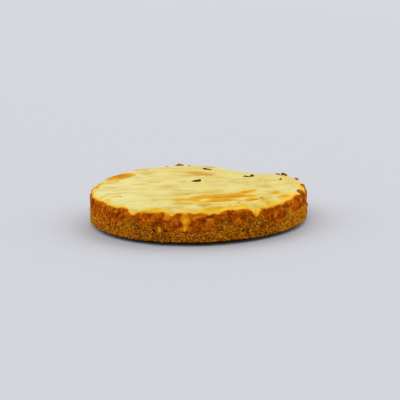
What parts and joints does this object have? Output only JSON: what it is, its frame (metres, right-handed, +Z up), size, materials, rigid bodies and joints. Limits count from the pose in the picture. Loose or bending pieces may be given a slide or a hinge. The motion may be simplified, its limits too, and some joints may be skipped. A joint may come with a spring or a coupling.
{
  "type": "baked cheesecake",
  "caption": "Whole round baked cheesecake: pale filling with a browned skin on a pressed crumb crust that climbs unevenly up its side.",
  "frame": {"origin": "centre of the flat foot, at the height of the surface that the cake stands on", "axes": "+Z up, out of the baked top; -Y faces the picture's camera; +X to the picture's right"},
  "size_m": [0.26, 0.2605, 0.0464],
  "materials": {
    "baked_crumb": "coarse baked biscuit crumb, matte, golden brown",
    "baked_cheese": "satin baked skin, pale yellow on top and browned at the side"
  },
  "bodies": {
    "root": {"crumb_crust": "baked_crumb", "cheese_filling": "baked_cheese"}
  },
  "joints": []
}
